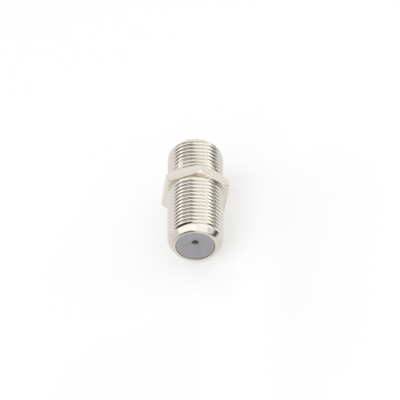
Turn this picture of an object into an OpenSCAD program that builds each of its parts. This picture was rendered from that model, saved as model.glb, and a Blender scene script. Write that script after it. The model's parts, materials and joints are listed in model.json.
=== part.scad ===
// F connector, double female barrel coupler. It joins two coaxial leads that end in F plugs.
// One turned barrel, threaded from both ends up to a hexagon, holds two plastic bushes, and they hold the spring
// contact that grips the centre wire of either lead. The rim of the barrel is rolled in over each bush.
//
// Each piece is drawn along +Z from the near rim to the far rim, and as_it_lies() lays the whole on its side: it
// rests on one flat of the hexagon and on the first full thread of the longer end, which tips down a little.

/* [Barrel] */
// Length of the near threaded end, from its rim to the hexagon
near_len = 11.3; // [9:0.1:16]
// Length of the far threaded end, from the hexagon to its rim
far_len = 7.7; // [6:0.1:16]
// Length of the hexagon along the axis
hex_len = 2.1; // [1.5:0.1:4]
// Width of the hexagon across its flats
hex_flats = 10.8; // [10.2:0.1:13]
// How far the chamfer takes in the corners of the hexagon on its near face
near_corner_trim = 0.45; // [0.1:0.05:0.8]
// How far the chamfer takes in the corners of the hexagon on its far face
far_corner_trim = 1.1; // [0.1:0.05:1.3]
// Outside diameter of each rim, where the lead-in cone of the thread starts
rim_d = 7.6; // [7.4:0.1:8]
// Length of the lead-in cone at each end
lead_len = 1.25; // [0.6:0.05:1.6]
// Radius of the rounded outer edge of each rim
rim_round = 0.15; // [0.05:0.01:0.18]

/* [Thread] */
// Outside diameter of the thread
thread_d = 9.4; // [9:0.05:9.6]
// Distance from one thread to the next: 32 to the inch
thread_pitch = 0.79375; // [0.7:0.00625:0.9]
// Angle between the two flanks of a groove
thread_angle = 60; // [55:1:60]

/* [Bore of the barrel] */
// Diameter of the pocket that holds each bush
pocket_d = 6.9; // [6.5:0.1:7]
// Depth of each pocket, from the rim to its shoulder
pocket_len = 8; // [5:0.1:8.5]
// Diameter of the bore between the two pockets
land_d = 5.8; // [4.5:0.1:6.2]
// Diameter of the mouth that the rolled rim leaves
mouth_d = 6.6; // [6.2:0.05:6.8]
// How deep the rolled rim reaches in over the edge of the bush
lip_len = 0.35; // [0.2:0.05:0.6]

/* [Bushes] */
// How far the face of the bush sits below the rim
face_drop = 0.1; // [0:0.01:0.2]
// Width of the flat edge left round the funnel
face_edge = 0.2; // [0.1:0.05:0.6]
// Depth of the funnel that guides the wire, from the face to the hole
funnel_len = 0.65; // [0.5:0.05:2]
// Diameter of the hole for the wire
hole_d = 1.3; // [1.1:0.05:1.6]
// Length of the hole, from the funnel to the contact
hole_len = 1.4; // [0.6:0.05:2]

/* [Contact] */
// Outside diameter of the contact
contact_d = 2.2; // [1.8:0.1:2.8]
// Diameter of the bore inside the spring fingers
contact_bore_d = 1.3; // [1.1:0.05:1.5]
// Diameter of the throat, where the fingers close in on the wire
throat_d = 0.7; // [0.5:0.05:0.8]
// Length of the throat along the axis
throat_len = 0.6; // [0.3:0.1:1]
// Length of the cones that lead in to the throat and out of it
throat_lead = 0.5; // [0.3:0.1:0.8]
// Length of the spring fingers
finger_len = 5.5; // [3:0.1:6]
// Width of the slots between the fingers
slot_w = 0.25; // [0.15:0.05:0.4]
// Number of fingers at each end
fingers = 4; // [2:2:6]
// Depth of the bore past the root of the fingers
bore_past_slots = 1; // [0.5:0.1:1.5]

/* [Clearances] */
// Gap between a bush and the wall of its pocket
bush_gap = 0.02; // [0.01:0.01:0.05]
// Gap between the contact and the bore of a bush
contact_gap = 0.05; // [0.02:0.01:0.1]

/* [Hidden] */
$fn = 96;
past = 0.5; // how far a cutting tool runs past the face that it opens

// Lengths along the axis, from the near rim
hex_far = near_len + hex_len;
total_len = hex_far + far_len;

// Radii of the barrel
thread_r = thread_d / 2;
rim_r = rim_d / 2;
mouth_r = mouth_d / 2;
pocket_r = pocket_d / 2;
land_r = land_d / 2;
flat_r = hex_flats / 2;
corner_r = flat_r / cos(30);

// Section of the unified thread: the crest is an eighth of the pitch wide, and the root a sixth
crest_w = thread_pitch / 8;
root_w = thread_pitch / 6;
flank_rise = 1 / tan(thread_angle / 2);
thread_h = (thread_pitch - crest_w - root_w) / 2 * flank_rise;
root_r = thread_r - thread_h;

// Grooves that a threaded end has room for, counted from the hexagon out to where the lead-in cone stands a
// quarter of the thread's height over the root
lead_slope = (thread_r - rim_r) / lead_len;
cut_from = (root_r + thread_h / 4 - rim_r) / lead_slope;
near_grooves = round((near_len - cut_from) / thread_pitch);
far_grooves = round((far_len - cut_from) / thread_pitch);

// Bush: its front edge bears on the cone under the rolled rim, and its back on the shoulder of the pocket
bush_r = pocket_r - bush_gap;
lip_slope = (pocket_r - mouth_r) / lip_len;
face_r = mouth_r + lip_slope * face_drop;
funnel_r = face_r - face_edge;
hole_r = hole_d / 2;
funnel_end = face_drop + funnel_len;
contact_at = funnel_end + hole_len;

// Contact: it fills the space between the ends of the two holes
contact_r = contact_d / 2;
contact_len = total_len - 2 * contact_at;

// How it lies: the first full crest of the near end and the near edge of a flat both touch the ground
full_crests = floor((near_len - lead_len - crest_w / 2) / thread_pitch);
first_crest = near_len - full_crests * thread_pitch - crest_w / 2;
tilt = atan((flat_r - thread_r) / (near_len - first_crest));
lift = thread_r * cos(tilt) - first_crest * sin(tilt);

module as_it_lies() {
    translate([0, -total_len * cos(tilt) / 2, lift])
        rotate([tilt - 90, 0, 0])
            children();
}

// Turns what is drawn at the near end round to the far end
module at_far_end() {
    translate([0, 0, total_len])
        mirror([0, 0, 1])
            children();
}

// Section of one groove, cut wider past the crest
module groove_section() {
    reach = thread_h + past;
    polygon([
        [root_r, -root_w / 2],
        [root_r, root_w / 2],
        [root_r + reach, root_w / 2 + reach / flank_rise],
        [root_r + reach, -root_w / 2 - reach / flank_rise],
    ]);
}

// Half section of the barrel before it is bored: rims with rounded edges, lead-in cones and the grooves of both ends
module barrel_section() {
    cone_angle = atan2(lead_len, thread_r - rim_r);
    edge_cut = rim_round / tan((180 - cone_angle) / 2);
    edge_out = edge_cut * cos(cone_angle);
    edge_in = edge_cut * sin(cone_angle);
    difference() {
        union() {
            polygon([
                [0, 0],
                [rim_r - edge_cut, 0],
                [rim_r + edge_out, edge_in],
                [thread_r, lead_len],
                [thread_r, total_len - lead_len],
                [rim_r + edge_out, total_len - edge_in],
                [rim_r - edge_cut, total_len],
                [0, total_len],
            ]);
            for (at = [rim_round, total_len - rim_round])
                translate([rim_r - edge_cut, at])
                    circle(r = rim_round);
        }
        for (i = [0 : near_grooves - 1])
            translate([0, near_len - (i + 0.5) * thread_pitch])
                groove_section();
        for (i = [0 : far_grooves - 1])
            translate([0, hex_far + (i + 0.5) * thread_pitch])
                groove_section();
    }
}

// The hexagon, with its corners turned off at 30 degrees on both faces
module hexagon() {
    near_face_r = corner_r - near_corner_trim;
    far_face_r = corner_r - far_corner_trim;
    clear_r = corner_r + past / 5;
    translate([0, 0, near_len])
        intersection() {
            cylinder(h = hex_len, r = corner_r, $fn = 6);
            rotate_extrude()
                polygon([
                    [0, 0],
                    [near_face_r, 0],
                    [clear_r, (clear_r - near_face_r) * tan(30)],
                    [clear_r, hex_len - (clear_r - far_face_r) * tan(30)],
                    [far_face_r, hex_len],
                    [0, hex_len],
                ]);
        }
}

// The bore: a pocket from each end, narrower under the rolled rim, and the land between their shoulders
module barrel_bore() {
    far_shoulder = total_len - pocket_len;
    rotate_extrude()
        polygon([
            [0, -past],
            [mouth_r, -past],
            [mouth_r, 0],
            [pocket_r, lip_len],
            [pocket_r, pocket_len],
            [land_r, pocket_len],
            [land_r, far_shoulder],
            [pocket_r, far_shoulder],
            [pocket_r, total_len - lip_len],
            [mouth_r, total_len],
            [mouth_r, total_len + past],
            [0, total_len + past],
        ]);
}

module body() {
    color([0.82, 0.80, 0.76])
        as_it_lies()
            difference() {
                union() {
                    rotate_extrude()
                        barrel_section();
                    hexagon();
                }
                barrel_bore();
            }
}

// A bush: funnel and wire hole in front, and the bore that the contact sits in behind
module bush() {
    cone_end = (bush_r - mouth_r) / lip_slope;
    bore_r = contact_r + contact_gap;
    rotate_extrude()
        polygon([
            [hole_r, funnel_end],
            [funnel_r, face_drop],
            [face_r, face_drop],
            [bush_r, cone_end],
            [bush_r, pocket_len],
            [bore_r, pocket_len],
            [bore_r, contact_at],
            [hole_r, contact_at],
        ]);
}

module front_insulator() {
    color([0.63, 0.62, 0.63])
        as_it_lies()
            bush();
}

module rear_insulator() {
    color([0.63, 0.62, 0.63])
        as_it_lies()
            at_far_end()
                bush();
}

// The bore of one end of the contact, with the throat that grips the wire, and the slots that free the fingers
module finger_cuts() {
    bore_r = contact_bore_d / 2;
    throat_r = throat_d / 2;
    throat_end = throat_lead + throat_len;
    bore_end = finger_len + bore_past_slots;
    rotate_extrude()
        polygon([
            [0, -past],
            [bore_r, -past],
            [bore_r, 0],
            [throat_r, throat_lead],
            [throat_r, throat_end],
            [bore_r, throat_end + throat_lead],
            [bore_r, bore_end],
            [0, bore_end],
        ]);
    for (i = [0 : fingers / 2 - 1])
        rotate(i * 360 / fingers)
            translate([-contact_d, -slot_w / 2, -past])
                cube([2 * contact_d, slot_w, finger_len + past]);
}

module centre_contact() {
    color([0.80, 0.62, 0.36])
        as_it_lies()
            difference() {
                translate([0, 0, contact_at])
                    cylinder(h = contact_len, r = contact_r);
                translate([0, 0, contact_at])
                    finger_cuts();
                at_far_end()
                    translate([0, 0, contact_at])
                        finger_cuts();
            }
}

body();
front_insulator();
rear_insulator();
centre_contact();
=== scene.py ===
# F connector, double female barrel coupler, lying on a flat of its hexagon and on its longer thread.
# The sections follow the order of assembly: barrel, bushes, contact, and last the studio.
# Sizes are in millimetres, and a mesh is scaled to metres when it is made.
import json
import math

import bmesh
import bpy
from mathutils import Matrix, Vector


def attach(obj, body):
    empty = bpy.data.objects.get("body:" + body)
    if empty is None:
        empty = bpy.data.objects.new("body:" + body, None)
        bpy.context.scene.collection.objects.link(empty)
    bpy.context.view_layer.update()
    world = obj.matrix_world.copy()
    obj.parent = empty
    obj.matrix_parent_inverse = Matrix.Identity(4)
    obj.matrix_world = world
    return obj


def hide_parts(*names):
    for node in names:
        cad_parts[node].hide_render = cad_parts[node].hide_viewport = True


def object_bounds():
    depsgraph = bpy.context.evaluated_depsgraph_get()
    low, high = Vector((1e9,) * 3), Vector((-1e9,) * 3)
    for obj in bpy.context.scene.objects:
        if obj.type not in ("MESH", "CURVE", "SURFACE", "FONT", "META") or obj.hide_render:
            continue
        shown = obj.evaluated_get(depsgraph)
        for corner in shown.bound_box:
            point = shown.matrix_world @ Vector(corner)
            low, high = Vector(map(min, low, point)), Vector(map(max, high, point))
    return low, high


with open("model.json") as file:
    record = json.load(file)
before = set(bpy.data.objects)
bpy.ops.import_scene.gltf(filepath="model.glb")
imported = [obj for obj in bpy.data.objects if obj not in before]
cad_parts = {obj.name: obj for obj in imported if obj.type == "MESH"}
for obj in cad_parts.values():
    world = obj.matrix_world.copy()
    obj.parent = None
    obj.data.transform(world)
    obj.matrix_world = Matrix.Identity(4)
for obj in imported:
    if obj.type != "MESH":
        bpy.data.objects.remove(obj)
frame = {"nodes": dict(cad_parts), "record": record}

cad_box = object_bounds()

# ------------------------------------------------------------------------------------------------------
# Barrel. One piece, turned from hexagon brass bar, threaded 3/8 inch by 32 to the inch from both ends,
# and nickel plated. Its rims are rolled in over the bushes once they are pressed home.

MM = 0.001
barrel_len = 21.1  # rim to rim
hex_near, hex_far = 11.3, 13.4  # the two faces of the hexagon, from the near rim
flat_r = 5.4  # middle of the hexagon to a flat
half_side = math.radians(30)  # from the middle of a flat round to a corner
corner_r = flat_r / math.cos(half_side)
near_corner, far_corner = corner_r - 0.45, corner_r - 1.1  # where the chamfers meet the faces
chamfer_slope = math.tan(math.radians(30))
corner_round = 0.14  # radius of the long edges of the hexagon
edge_break = 0.06  # width of the broken edges round its faces
edge_round = 0.02  # rounding of those edges
rim_r = 3.8
rim_round, mouth_round = 0.28, 0.12  # rounding of the outer and the inner edge of a rim
cone_len = 1.25  # lead-in cone, from the rim to the crests
mouth_r, pocket_r, land_r = 3.3, 3.45, 2.9
pocket_len, lip_len = 8.0, 0.35
crest_r = 4.7
cone_slope = (crest_r - rim_r) / cone_len
cone_soft = 0.3  # rounding where the cone reaches the crests
pitch = 0.79375
thread_depth = 0.487
root_half, crest_half = pitch / 12, pitch / 16  # half the widths of the flats of a root and a crest
flank_soft = 0.22  # rounding of a root and of a crest, as a share of the height
cut_start = 0.3  # from a rim to the first row of its thread
run_out_end, run_out_len = 0.05, 0.3  # a groove stops this far from the hexagon, and runs out over this
near_grooves = 13
near_shift = 0.17  # how much nearer the rim all of them are timed
swing = math.radians(22.6)  # the grooves are timed along a line this far off the top, towards +X
timed_at = math.radians(270) + swing
# The first grooves of both threads along that line
first_near = hex_near - (near_grooves - 0.5) * pitch - near_shift
first_far = hex_far + pitch

# The barrel's own frame: its axis is +Z from the near rim to the far rim, +X is the row's, and +Y is
# underneath.
mounts = {mount["name"]: mount for mount in frame["record"]["mounts"]}
near_socket, far_socket = (Vector(mounts[name]["pos_m"]) for name in ("near_socket", "far_socket"))
row_x = Vector((1, 0, 0))
along = (far_socket - near_socket).normalized()
under = along.cross(row_x)
near_end = (near_socket + far_socket) / 2 - along * barrel_len * MM / 2


def placed(x_line, y_line, z_line, origin):
    """The transform that puts the three axes on those lines, and zero at that point."""
    there = Matrix((x_line, y_line, z_line)).transposed().to_4x4()
    there.translation = origin
    return there


def add_object(name, data):
    made = bpy.data.objects.new(name, data)
    bpy.context.scene.collection.objects.link(made)
    return made


def soft_step(x):
    """0 up to 0, 1 from 1 on, and an even curve between."""
    x = min(max(x, 0), 1)
    return x * x * (3 - 2 * x)


def soft_least(x, y, blend):
    """The smaller of the two, rounded where they meet."""
    near = max(blend - abs(x - y), 0) / blend
    return min(x, y) - near * near * blend / 4


def rounded(corners, steps=4):
    """A section's line through (along, radius, size of rounding), each corner turned into a small arc."""
    line = []
    for i, (a, r, size) in enumerate(corners):
        if size == 0:
            line.append((a, r))
            continue
        here = Vector((a, r))
        back = (Vector(corners[i - 1][:2]) - here).normalized() * size
        on = (Vector(corners[i + 1][:2]) - here).normalized() * size
        for k in range(steps + 1):
            t = k / steps
            line.append(tuple(here + back * (1 - t) ** 2 + on * t**2))
    return line


lie = placed(row_x, under, along, near_end)
same_place = 0.0002 * MM
crisp_from = math.radians(38)  # an edge that bends more than this stays crisp


def turned(name, angles, section):
    """A closed body round the axis, from the closed section of (along, radius) that each angle has.

    The first and the last angle are the same line, and their points become one.
    """
    made = bmesh.new()
    rings = []
    for angle in angles:
        out = Vector((math.cos(angle), math.sin(angle), 0))
        places = [(out * r + Vector((0, 0, a))) * MM for a, r in section(angle)]
        rings.append([made.verts.new(lie @ place) for place in places])
    for ring, on in zip(rings, rings[1:]):
        for k in range(len(ring)):
            made.faces.new((ring[k - 1], on[k - 1], on[k], ring[k]))
    bmesh.ops.remove_doubles(made, verts=made.verts, dist=same_place)
    bmesh.ops.recalc_face_normals(made, faces=made.faces)
    mesh = bpy.data.meshes.new(name)
    made.to_mesh(mesh)
    made.free()
    mesh.shade_smooth()
    mesh.set_sharp_from_angle(angle=crisp_from)
    body = add_object(name, mesh)
    crisp = body.modifiers.new("crisp_edges", "WEIGHTED_NORMAL")
    crisp.keep_sharp = True
    return body


# Angles round the axis: one every 2.5 degrees, and more of them at the corners of the hexagon
barrel_angles = {2.5 * k for k in range(145)}
for corner in range(0, 361, 60):
    barrel_angles |= {corner + side * off for off in (0.22, 0.43, 0.65, 0.95) for side in (-1, 1)}
barrel_angles = [math.radians(d) for d in sorted(barrel_angles) if 0 <= d <= 360]

# Where a groove has points, from its middle out to both sides, and on to the middle of the next crest
groove_side = [0.045, 0.075, 0.11, 0.17, 0.24, 0.295, 0.33, 0.362]
groove_steps = [-off for off in reversed(groove_side)] + [0] + groove_side + [pitch / 2]


def groove_height(off):
    """How far a groove's side has come up, that far from its middle: 0 at the root, 1 at the crest."""
    rise = (off - root_half) / (pitch / 2 - crest_half - root_half)
    return soft_least(-soft_least(-rise, 0, flank_soft), 1, flank_soft)


def thread_rows(angle, rim, face, first_groove):
    """One column of right-hand thread between a rim and a face of the hexagon, in order along the axis.

    A groove moves on by a pitch in a turn, and runs out before it reaches the hexagon.
    """
    inward = math.copysign(1, face - rim)
    start, stop = sorted((rim + inward * cut_start, face))
    turn = (angle - timed_at) / (2 * math.pi)
    rows = []
    for k in range(-1, round((stop - start) / pitch) + 2):
        middle = first_groove + (k + turn) * pitch
        depth = thread_depth * soft_step(((face - middle) * inward - run_out_end) / run_out_len)
        for off in groove_steps:
            a = min(max(middle + off, start), stop)
            cone = soft_least(rim_r + cone_slope * abs(a - rim), crest_r, cone_soft)
            groove = crest_r - depth * (1 - groove_height(min(abs(a - middle), pitch / 2)))
            rows.append((a, min(groove, cone)))
    return rows


def hexagon_rows(angle):
    """One column of the hexagon: near face, chamfer or broken edge, side, and the same to the far face."""
    off = math.radians(abs((math.degrees(angle) + 30) % 60 - 30))  # from the nearest corner
    centre = corner_r - corner_round / math.cos(half_side)
    arc_out = centre + corner_round * math.cos(half_side)
    if math.tan(off) < corner_round * math.sin(half_side) / arc_out:
        out = centre * math.cos(off) + math.sqrt(corner_round**2 - (centre * math.sin(off)) ** 2)
    else:
        out = flat_r / math.cos(half_side - off)
    near_cut = max(edge_break, (out - near_corner) * chamfer_slope)
    far_cut = max(edge_break, (out - far_corner) * chamfer_slope)
    return rounded(
        [
            (hex_near, crest_r, 0),
            (hex_near, min(out - edge_break, near_corner), edge_round),
            (hex_near + near_cut, out, edge_round),
            (hex_far - far_cut, out, edge_round),
            (hex_far, min(out - edge_break, far_corner), edge_round),
            (hex_far, crest_r, 0),
        ],
        steps=2,
    )


rim_rows = rounded(
    [
        (lip_len, pocket_r, 0),
        (0, mouth_r, mouth_round),
        (0, rim_r, rim_round),
        (cut_start, rim_r + cone_slope * cut_start, 0),
    ]
)
far_rim_rows = [(barrel_len - a, r) for a, r in reversed(rim_rows)]
bore_rows = [
    (barrel_len - pocket_len, pocket_r),
    (barrel_len - pocket_len, land_r),
    (pocket_len, land_r),
    (pocket_len, pocket_r),
]


def barrel_section(angle):
    near_thread = thread_rows(angle, 0, hex_near, first_near)
    far_thread = thread_rows(angle, barrel_len, hex_far, first_far)
    return rim_rows + near_thread + hexagon_rows(angle) + far_thread + far_rim_rows + bore_rows


barrel = turned("barrel", barrel_angles, barrel_section)


class Wire:
    """A value on its way through a material. Arithmetic on it adds Math nodes."""

    def __init__(self, tree, socket=None):
        self.tree, self.socket = tree, socket

    def node(self, kind, settings=None, feeds=None, out=0):
        """Adds a node of that type: its settings first, then the values or wires of its sockets."""
        made = self.tree.nodes.new("ShaderNode" + kind)
        for name, value in (settings or {}).items():
            setattr(made, name, value)
        for name, value in (feeds or {}).items():
            if isinstance(value, Wire):
                value.into(made, name)
            else:
                made.inputs[name].default_value = value
        return Wire(self.tree, made.outputs[out])

    def into(self, node, name):
        self.tree.links.new(self.socket, node.inputs[name])

    def maths(self, operation, *terms):
        return self.node("Math", {"operation": operation}, dict(enumerate(terms)))

    def noise(self, scale, detail):
        """Fine unevenness over the place that this carries."""
        return self.node("TexNoise", feeds={"Vector": self, "Scale": scale, "Detail": detail})

    def bump(self, strength, depth):
        """A surface normal that leans as this height says."""
        return self.node("Bump", feeds={"Height": self, "Strength": strength, "Distance": depth})

    def between(self, low, high):
        """0 at low, 1 at high, held at both ends."""
        return self.node("MapRange", {"clamp": True}, {"Value": self, "From Min": low, "From Max": high})

    def within(self, low, full, from_full, high):
        """1 from full to from_full, and it fades to 0 at low and at high."""
        return self.between(low, full) * (1 - self.between(from_full, high))

    def blend(self, one, other):
        """The first colour where this is 0, and the other where it is 1."""
        one, other = (colour if isinstance(colour, Wire) else (*colour, 1) for colour in (one, other))
        return self.node("Mix", {"data_type": "RGBA"}, {0: self, 6: one, 7: other}, out=2)

    def __add__(self, other):
        return self.maths("ADD", self, other)

    def __sub__(self, other):
        return self.maths("SUBTRACT", self, other)

    def __rsub__(self, other):
        return self.maths("SUBTRACT", other, self)

    def __mul__(self, other):
        return self.maths("MULTIPLY", self, other)

    def __truediv__(self, other):
        return self.maths("DIVIDE", self, other)

    def __rtruediv__(self, other):
        return self.maths("DIVIDE", other, self)

    def __pow__(self, other):
        return self.maths("POWER", self, other)

    def __rpow__(self, other):
        return self.maths("POWER", other, self)

    __radd__, __rmul__ = __add__, __mul__


def new_finish(name, **constants):
    """A material, its Principled shader with those values, and a wire to start its nodes from."""
    finish = bpy.data.materials.new(name)
    finish.use_nodes = True
    shader = finish.node_tree.nodes["Principled BSDF"]
    for socket, value in constants.items():
        shader.inputs[socket.replace("_", " ")].default_value = value
    return finish, shader, Wire(finish.node_tree)


def share_along(vector, line):
    """How far a wire's vector goes along a line."""
    return vector.node("VectorMath", {"operation": "DOT_PRODUCT"}, {0: vector, 1: line}, out="Value")


def barrel_place(wire):
    """Where the shaded point is in the barrel's own frame, in metres."""
    place = wire.node("TexCoord", out="Object")
    return [share_along(place, line) - near_end.dot(line) for line in (row_x, under, along)]


# The groove colour is painted shade for the grooves of the thread and everything nearer the axis
groove_shade_colour, crest_colour = (0.66, 0.625, 0.56), (0.79, 0.765, 0.72)
cloud_colour, far_colour, hexagon_colour = (0.73, 0.70, 0.645), (0.66, 0.61, 0.55), (0.775, 0.72, 0.64)

nickel, nickel_shader, wire = new_finish("nickel_plate", Metallic=1.0)
x, y, a = barrel_place(wire)
radius = (x * x + y * y) ** 0.5

# Clouds in the plate, and the fine rings that turning leaves under it
clouds = wire.node("CombineXYZ", feeds={0: x, 1: y, 2: a}).noise(420.0, 3.0)
turning = wire.node("CombineXYZ", feeds={0: radius, 1: a}).noise(15600.0, 4.0)
tone = (clouds * 0.6 + turning * 0.4).between(0.3, 0.7)

# The grooves, and everything nearer the axis such as the rims and the lead-in cones, are darker with
# painted shade that fades out up to the crests, the hexagon has warmer plate, and the far thread is a
# little duller
groove_shade_fade = radius.between(4.25 * MM, 4.72 * MM)  # from the roots to the crests
on_far_thread = a.between(12.5 * MM, 15 * MM) * 0.2
on_hexagon = radius.between(4.85 * MM, 5.1 * MM) * 0.8
colour = groove_shade_fade.blend(groove_shade_colour, crest_colour)
colour = (tone * 0.5).blend(colour, cloud_colour)
colour = on_far_thread.blend(colour, far_colour)
colour = on_hexagon.blend(colour, hexagon_colour)
colour.into(nickel_shader, "Base Color")
rough = 0.09 - groove_shade_fade * 0.03 + tone * 0.03
rough.into(nickel_shader, "Roughness")
turning.bump(0.25, 0.004 * MM).into(nickel_shader, "Normal")

barrel.data.materials.append(nickel)
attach(barrel, "root")
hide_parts("body")

# ------------------------------------------------------------------------------------------------------
# Bushes. Two alike, moulded in grey plastic with a satin surface. Each is pressed in against the shoulder
# of its pocket, and the rolled rim holds it. A funnel leads the wire of the plug to the hole.

face_drop, face_edge = 0.1, 0.2  # the face is this far below the rim, and this wide round the funnel
funnel_end, contact_at = 0.75, 2.15  # where the funnel meets the hole, and the hole the contact
hole_r, bore_r = 0.65, 1.15
tight_r, tight_end, wide_from = 0.53, 1.15, 1.25  # the hole is a little tighter at its mouth
bush_gap = 0.02  # to the wall of the pocket
bush_r = pocket_r - bush_gap
face_r = mouth_r + (pocket_r - mouth_r) / lip_len * face_drop
hole_soft, throat_soft, face_soft, bush_soft = 0.04, 0.3, 0.05, 0.02  # rounding of its edges

# The section of a bush: hole, funnel, face, outside, back, and the bore that the contact sits in
bush_rows = rounded(
    [
        (contact_at, hole_r, 0),
        (wide_from, hole_r, hole_soft),
        (tight_end, tight_r, hole_soft),
        (funnel_end, tight_r, throat_soft),
        (face_drop, face_r - face_edge, face_soft),
        (face_drop, face_r, bush_soft),
        (lip_len - bush_gap, bush_r, bush_soft),
        (pocket_len, bush_r, bush_soft),
        (pocket_len, bore_r, 0),
        (contact_at, bore_r, 0),
    ]
)
far_bush_rows = [(barrel_len - a, r) for a, r in bush_rows]
bush_angles = [math.radians(d) for d in range(0, 361, 3)]
near_bush = turned("near_bush", bush_angles, lambda angle: bush_rows)
far_bush = turned("far_bush", bush_angles, lambda angle: far_bush_rows)

moulded_colour, flow_colour, seam_shade_colour = (0.335, 0.325, 0.34), (0.36, 0.35, 0.363), (0.16, 0.155, 0.15)

plastic, plastic_shader, wire = new_finish("grey_plastic")
place = wire.node("TexCoord", out="Object")
flow = place.noise(900.0, 4.0)
grain = place.noise(9000.0, 2.0)
x, y, _ = barrel_place(wire)
# Painted shade in the gap where the bush goes under the rim: a dark ring round the edge of its face
seam_shade = ((x * x + y * y) ** 0.5).between(3.14 * MM, 3.3 * MM)  # dark where the bush goes under the rim
colour = flow.between(0.35, 0.65).blend(moulded_colour, flow_colour)
colour = seam_shade.blend(colour, seam_shade_colour)
colour.into(plastic_shader, "Base Color")
rough = 0.24 + grain * 0.12
rough.into(plastic_shader, "Roughness")
grain.bump(0.3, 0.01 * MM).into(plastic_shader, "Normal")

for bush, node in ((near_bush, "front_insulator"), (far_bush, "rear_insulator")):
    bush.data.materials.append(plastic)
    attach(bush, "root")
    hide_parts(node)

# ------------------------------------------------------------------------------------------------------
# Contact. One bronze pin, bored from both ends and slit into four spring fingers at each. The bushes hold
# it between them, and only the tips of its fingers show through their holes.

dull_bronze, bright_bronze = (0.70, 0.50, 0.27), (0.79, 0.60, 0.34)

bronze, bronze_shader, wire = new_finish("contact_bronze", Metallic=1.0)
place = wire.node("TexCoord", out="Object")
# Fine lines along the pin, as it was drawn
drawn = wire.node("Mapping", feeds={"Vector": place, "Scale": (900, 30, 900)}).noise(4.0, 3.0)
colour = drawn.between(0.3, 0.7).blend(dull_bronze, bright_bronze)
colour.into(bronze_shader, "Base Color")
rough = 0.2 + drawn * 0.12
rough.into(bronze_shader, "Roughness")

contact = frame["nodes"]["centre_contact"]
for material_slot in contact.material_slots:
    material_slot.material = bronze

# ------------------------------------------------------------------------------------------------------
# Studio. A pale floor with a slight gloss, a white room, soft lamps, and a long lens swung off the axis.
# Darker places in the room and two dark cloths on the floor, which only polished metal shows, give the
# plate its lines.

view_angle = math.radians(47.8)  # between the axis and the line of sight
camera_away = 0.77  # metres
aim_right, aim_up = 0.79, 7.76  # from the middle of the near rim to the middle of the view
top_line = -under * math.cos(swing) + row_x * math.sin(swing)
sight = -along * math.cos(view_angle) + top_line * math.sin(view_angle)
up = (along + sight * math.cos(view_angle)).normalized()
right = up.cross(sight)
aim = near_end + (right * aim_right + up * aim_up) * MM
camera = add_object("camera", bpy.data.cameras.new("camera"))
camera.data.lens = 414
camera.matrix_world = placed(right, up, sight, aim + sight * camera_away)
bpy.context.scene.camera = camera
bpy.context.scene.view_settings.view_transform = "Standard"


def lay_flat(name, low, high, height, material):
    """A level rectangle between two corners, in metres, which isn't part of the object."""
    (x0, y0), (x1, y1) = low, high
    corners = [(x, y, height) for x, y in ((x0, y0), (x1, y0), (x1, y1), (x0, y1))]
    mesh = bpy.data.meshes.new(name)
    mesh.from_pydata(corners, [], [(0, 1, 2, 3)])
    mesh.materials.append(material)
    made = add_object(name, mesh)
    return made


reach, ground = 3.0, cad_box[0].z
seen_glow, shiny_glow = 0.5, 0.6  # how far the floor is plain white to the camera, and in polished metal
paper, paper_shader, wire = new_finish("pale_floor", Base_Color=(0.93, 0.93, 0.93, 1), Roughness=0.12)
seen = wire.node("LightPath", out="Is Camera Ray")
shiny = wire.node("LightPath", out="Is Glossy Ray")
lit = Wire(paper.node_tree, paper_shader.outputs["BSDF"])
glow = wire.node("Emission", feeds={"Color": (1, 1, 1, 1), "Strength": 1.0})
share = wire.maths("MAXIMUM", seen * seen_glow, shiny * shiny_glow)
half_lit = wire.node("MixShader", feeds={0: share, 1: lit, 2: glow})
half_lit.into(paper.node_tree.nodes["Material Output"], "Surface")
lay_flat("floor", (-reach, -reach), (reach, reach), ground, paper)

# The room, as polished metal shows it: white, with darker places. Each is (turn from, to, rise from, to,
# how soft, how bright), in degrees round from the near end towards +X, and up towards the top line.
room_white = 0.92
room_light = 0.8  # what reaches everything but polished metal
room_places = (
    (-38, -3, -25, 24, 3, 0.05),
    (-108, -86, 2, 20, 4, 0.06),
    (-126, -88, 42, 74, 8, 0.42),
    (-165, -120, 50, 80, 8, 0.5),
    (-172, -136, 10, 56, 8, 1.0),
)
side_line = along.cross(top_line)
world = bpy.data.worlds.new("white_room")
bpy.context.scene.world = world
world.use_nodes = True
wire = Wire(world.node_tree)
looking = wire.node("TexCoord", out="Generated")
to_front, to_side, to_top = (share_along(looking, line) for line in (-along, side_line, top_line))
turn = wire.maths("ARCTAN2", to_side, to_front) * math.degrees(1)
rise = wire.maths("ARCSINE", to_top) * math.degrees(1)
room = room_white
for turn_from, turn_to, rise_from, rise_to, soft, bright in room_places:
    share = turn.within(turn_from - soft, turn_from + soft, turn_to - soft, turn_to + soft)
    share = share * rise.within(rise_from - soft, rise_from + soft, rise_to - soft, rise_to + soft)
    room = room + share * (bright - room)
seen = wire.node("LightPath", out="Is Camera Ray")
shiny = wire.node("LightPath", out="Is Glossy Ray")
strength = seen + (1 - seen) * (shiny * room + (1 - shiny) * room_light)
background = world.node_tree.nodes["Background"]
background.inputs["Color"].default_value = (1, 1, 1, 1)
strength.into(background, "Strength")

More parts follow.
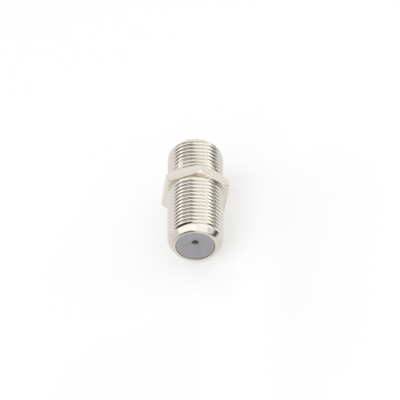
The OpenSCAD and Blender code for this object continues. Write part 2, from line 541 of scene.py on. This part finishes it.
# Two dark cloths on the floor, beside the barrel and in front of it to the left, for polished metal only.
# Each fades in over the first of each pair of lengths and out over the second, across the floor and then
# along it. The last number is how much it covers.
cloth_height = 0.05
for name, (x0, y0), (x1, y1), ((x_in, x_out), (y_in, y_out)), cover in (
    ("side_cloth", (10, -60), (38, 12), ((4, 20), (20, 14)), 0.95),
    ("front_cloth", (-36, -110), (1, -20), ((24, 3), (70, 8)), 0.85),
):
    cloth, cloth_shader, wire = new_finish(name, Base_Color=(0.03, 0.03, 0.03, 1), Roughness=0.9)
    place = wire.node("TexCoord", out="Object")
    x, y = (wire.node("SeparateXYZ", feeds={0: place}, out=axis) / MM for axis in ("X", "Y"))
    share = x.within(x0, x0 + x_in, x1 - x_out, x1) * y.within(y0, y0 + y_in, y1 - y_out, y1) * cover
    share.into(cloth_shader, "Alpha")
    height = ground + cloth_height * MM
    sheet = lay_flat(name, (x0 * MM, y0 * MM), (x1 * MM, y1 * MM), height, cloth)
    sheet.visible_camera = sheet.visible_diffuse = sheet.visible_shadow = False

# Soft lamps round the barrel: (name, turn, rise, width and height in degrees, how bright). In polished
# metal a lamp adds that much to the room behind it.
lamp_away = 0.5  # metres
for name, turn, rise, wide, high, bright in (
    ("front_lamp", 26, 41, 56, 50, 0.42),
    ("left_lamp", -60, 46, 56, 60, 0.5),
    ("back_lamp", 118, 50, 64, 60, 0.4),
    ("low_left_lamp", -100, 22, 26, 34, 0.8),
    ("low_right_lamp", 101, 20, 26, 34, 1.0),
    ("right_lamp", 114, 36, 26, 26, 0.5),
):
    turn, rise = math.radians(turn), math.radians(rise)
    level = -along * math.cos(turn) + side_line * math.sin(turn)
    to_lamp = level * math.cos(rise) + top_line * math.sin(rise)
    across = top_line.cross(to_lamp).normalized()
    lamp = bpy.data.lights.new(name, "AREA")
    lamp.shape = "RECTANGLE"
    lamp.size = 2 * lamp_away * math.tan(math.radians(wide / 2))
    lamp.size_y = 2 * lamp_away * math.tan(math.radians(high / 2))
    lamp.energy = bright * math.pi * lamp.size * lamp.size_y
    held = add_object(name, lamp)
    held.matrix_world = placed(across, to_lamp.cross(across), to_lamp, to_lamp * lamp_away)
